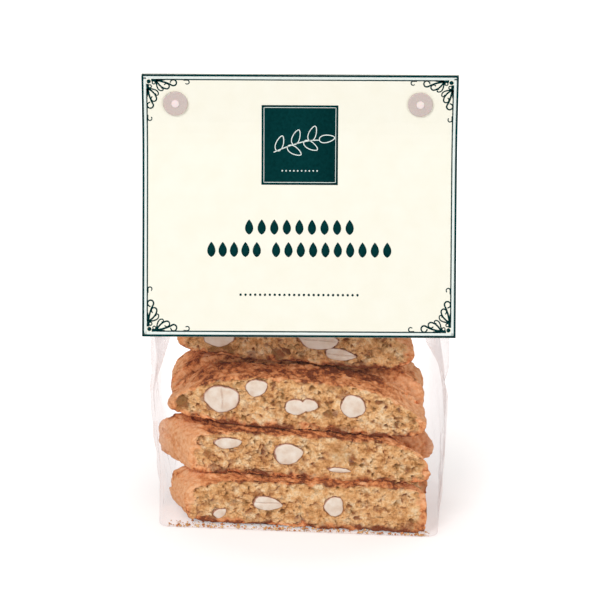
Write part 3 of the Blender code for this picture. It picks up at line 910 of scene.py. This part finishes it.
def build_print(green, mint):
    """The printed frame, its corner scrolls, a green panel with a sprig, and rows of almond
    shapes and dots where a pack has its words."""
    left, right = CARD_LOW[0], CARD_HIGH[0]
    low, high = FACE_Z[0] + 0.05, CARD_TOP - 0.03
    dark, pale, white = [], [], []

    def frame_line(inset, width, into, cut=0.0, lift=PROUD):
        """Four ribbons along the card's edges, each cut short at the corners."""
        a, b, c, d = left + inset, right - inset, low + inset, high - inset
        into.append(stroke(line_path((a + cut, c), (b - cut, c)), width, lift))
        narrow = width / FOLD_STRIPS
        for k in range(FOLD_STRIPS):
            over = d + (k + 0.5 - FOLD_STRIPS / 2) * narrow
            into.append(stroke(line_path((a + cut, over), (b - cut, over)), narrow, lift))
        into.append(stroke(line_path((a, c + cut), (a, d - cut), 0.6), width, lift))
        into.append(stroke(line_path((b, c + cut), (b, d - cut), 0.6), width, lift))

    frame_line(0.42, 0.84, dark, -0.3)
    frame_line(1.35, 1.1, white, -0.6, 0.02)
    frame_line(2.15, 0.5, dark, 4.0)

    for side_x in (-1, 1):
        for side_z in (-1, 1):
            edge_x = right if side_x > 0 else left
            edge_z = high if side_z > 0 else low

            def place(path, swap):
                """Turns distances in from a corner's two edges to x and z."""
                p, q = (path[:, 1], path[:, 0]) if swap else (path[:, 0], path[:, 1])
                return np.column_stack([edge_x - side_x * p, edge_z - side_z * q])

            x, z = place(np.array([[3.0, 3.0]]), False)[0]
            dark.append(dot(x, z, 0.85))
            for swap in (False, True):
                for path, width in corner_ornament():
                    taper = np.linspace(1.7, 1.1, len(path))
                    dark.append(stroke(place(path, swap), width * taper))
                ring = np.radians(np.linspace(0, 360, 33))
                circle = np.array([5.05, 3.45]) + 0.62 * np.column_stack([np.cos(ring), np.sin(ring)])
                dark.append(stroke(place(circle, swap), 0.45))
                wedge = np.column_stack([np.linspace(4.0, 9.5, 12), np.linspace(2.45, 2.35, 12)])
                dark.append(stroke(place(wedge, swap), np.linspace(1.1, 0.42, 12)))

    # The panel: a filled field, a thin pale line inside its edge and a sprig
    panel_low, panel_high, half = 147.6, 180.2, 15.8
    dark.append(stroke(line_path((0, panel_low), (0, panel_high), 0.5), 2 * half))
    inset = 1.0
    a, c, d = half - inset, panel_low + inset, panel_high - inset
    lift = PROUD + 0.03
    for z in (c, d):
        pale.append(stroke(line_path((-a, z), (a, z)), 0.22, lift))
    for x in (-a, a):
        pale.append(stroke(line_path((x, c), (x, d), 0.6), 0.22, lift))
    stem = np.linspace(0, 1, 40)
    stem_x, stem_z = -10.8 + 18.8 * stem, 160.6 + 5.0 * np.sin(math.pi * 0.5 * stem)
    pale.append(stroke(np.column_stack([stem_x, stem_z]), 0.4, lift))
    for share, side in ((0.1, 1), (0.32, -1), (0.46, 1), (0.68, -1), (0.82, 1)):
        k = int(share * 39)
        lean = 20 + side * 50
        away_x, away_z = turned(3.2, 0.0, math.radians(lean))
        pale.append(leaf_outline(stem_x[k] + away_x, stem_z[k] + away_z, 6.4, 3.0, lean, 0.36, lift))
    pale.append(leaf_outline(11.2, 166.2, 6.4, 3.0, 8, 0.36, lift))
    for x in np.arange(-7.2, 7.3, 1.6):
        pale.append(dot(x, 153.2, 0.32, lift))

    # Where a pack has its title: almond shapes, upright
    title = [(x, 130.9) for x in np.linspace(-20.8, 20.8, 9)]
    title += [(x, 122.0) for x in np.linspace(-36.4, -17.6, 5)]
    title += [(x, 122.0) for x in np.linspace(-9.6, 36.4, 10)]
    for x, z in title:
        dark.append(leaf(x, z, 6.0, 3.4, 90))
    for x in np.linspace(-24.2, 24.2, 25):
        dark.append(dot(x, 104.2, 0.5))

    for name, parts, material in (("ink_green", dark, green), ("ink_mint", white + pale, mint)):
        points, faces, _ = joined(parts)
        add_piece(name, points, faces, material)


# The stage

FLOOR_REACH = 2.0  # metres each way
FLOOR_GLOW = (0.4, 0.85)  # light added to the floor for the eye: near the pack, and away from it
WORLD_LIGHT = 0.5
LAMP_AIM = (0, 0, 0.09)
LAMPS = (  # name, place and size in metres, watts
    ("key", (-0.55, -1.0, 1.0), 0.5, 8.0),
    ("fill", (0.8, -1.1, 0.5), 0.8, 3.5),
)
CAMERA_LENS = 141.6
CAMERA_ELEVATION = 20.0  # degrees above level
CAMERA_ROLL = 0.29  # degrees
CAMERA_DISTANCE = 1.0
CAMERA_TARGET = np.array([0.0004, 0.0, 0.0946])

def seen_white(tree):
    """1 where the eye looks, straight, by a mirror or through glass, and 0 for the light itself."""
    paths = node(tree, "ShaderNodeLightPath").outputs
    straight = node(tree, "ShaderNodeMath", {0: paths["Is Camera Ray"], 1: paths["Is Glossy Ray"]},
                    operation="MAXIMUM")
    seen = node(tree, "ShaderNodeMath", {0: straight.outputs[0], 1: paths["Is Transmission Ray"]},
                operation="MAXIMUM")
    return seen.outputs[0]

def build_stage():
    """A white floor that shows white to the eye and keeps the soft shadow, two soft lamps, an even
    white surround and the camera."""
    scene = bpy.context.scene
    scene.view_settings.view_transform = "Standard"
    reach = FLOOR_REACH
    mesh = bpy.data.meshes.new("floor")
    mesh.from_pydata([(-reach, -reach, 0), (reach, -reach, 0), (reach, reach, 0), (-reach, reach, 0)],
                     [], [(0, 1, 2, 3)])
    floor = bpy.data.objects.new("floor", mesh)
    scene.collection.objects.link(floor)
    material, tree, out = new_material("white_paper_sweep")
    place = node(tree, "ShaderNodeTexCoord").outputs["Object"]
    away = node(tree, "ShaderNodeVectorMath", {0: place}, operation="LENGTH").outputs["Value"]
    lift = node(tree, "ShaderNodeMapRange", {"Value": away, "From Min": 0.05, "From Max": 0.17,
                                             "To Min": FLOOR_GLOW[0], "To Max": FLOOR_GLOW[1]})
    glow = node(tree, "ShaderNodeMath", {0: seen_white(tree), 1: lift.outputs["Result"]},
                operation="MULTIPLY")
    paper = node(tree, "ShaderNodeBsdfDiffuse", {"Color": hex_colour("#E4E1E1")})
    light = node(tree, "ShaderNodeEmission", {"Color": hex_colour("#FFFDFB"), "Strength": glow.outputs[0]})
    both = node(tree, "ShaderNodeAddShader", {0: paper.outputs["BSDF"], 1: light.outputs["Emission"]})
    tree.links.new(both.outputs["Shader"], out.inputs["Surface"])
    mesh.materials.append(material)

    world = bpy.data.worlds.new("white_surround")
    scene.world = world
    world.use_nodes = True
    tree = world.node_tree
    tree.nodes.clear()
    out = node(tree, "ShaderNodeOutputWorld")
    strength = node(tree, "ShaderNodeMapRange", {"Value": seen_white(tree), "To Min": WORLD_LIGHT,
                                                 "To Max": 1.0})
    back = node(tree, "ShaderNodeBackground", {"Color": hex_colour("#FFFFFF"),
                                               "Strength": strength.outputs["Result"]})
    tree.links.new(back.outputs["Background"], out.inputs["Surface"])

    for name, place, size, power in LAMPS:
        lamp = bpy.data.lights.new(name, "AREA")
        lamp.shape = "DISK"
        lamp.size = size
        lamp.energy = power
        held = bpy.data.objects.new(name, lamp)
        held.location = place
        aim = Vector(LAMP_AIM) - held.location
        held.rotation_mode = "QUATERNION"
        held.rotation_quaternion = aim.to_track_quat("-Z", "Y")
        scene.collection.objects.link(held)

    camera = bpy.data.cameras.new("camera")
    camera.lens = CAMERA_LENS
    camera.sensor_width = 36
    camera.clip_start = 0.05
    stand = bpy.data.objects.new("camera", camera)
    tip = math.radians(CAMERA_ELEVATION)
    roll = math.radians(CAMERA_ROLL)
    back = np.array([0, -math.cos(tip), math.sin(tip)])
    rise = np.array([0, math.sin(tip), math.cos(tip)])
    side = np.array([1.0, 0, 0])
    view_x = side * math.cos(roll) + rise * math.sin(roll)
    view_y = rise * math.cos(roll) - side * math.sin(roll)
    turn = Matrix(np.column_stack([view_x, view_y, back]).tolist())
    stand.matrix_world = Matrix.Translation(CAMERA_TARGET + back * CAMERA_DISTANCE) @ turn.to_4x4()
    scene.collection.objects.link(stand)
    scene.camera = stand


build_stage()
build_film(film_material())
dough = biscotti_material()
for biscotto in STACK:
    points, faces, values = slice_shape(biscotto)
    points[:, 2] = np.maximum(points[:, 2], BAG_FLOOR)
    add_piece(biscotto.name, points, faces, dough, values)
points, faces, values = joined([almond_shape(b, k) for b in STACK for k in range(len(b.almonds))])
add_piece("almonds", points, faces, almond_material(), values)
build_crumbs(dough)
build_print(ink_material("dark_green_ink", "#002F30", "#043A3B"),
            ink_material("pale_mint_ink", "#EEF9F3", "#F6FDF9"))
for name, finish in (("header_card", card_material()), ("rivet_left", rivet_material(solids["rivet_left"])),
                     ("rivet_right", rivet_material(solids["rivet_right"]))):
    solids[name].data.materials.clear()
    solids[name].data.materials.append(finish)
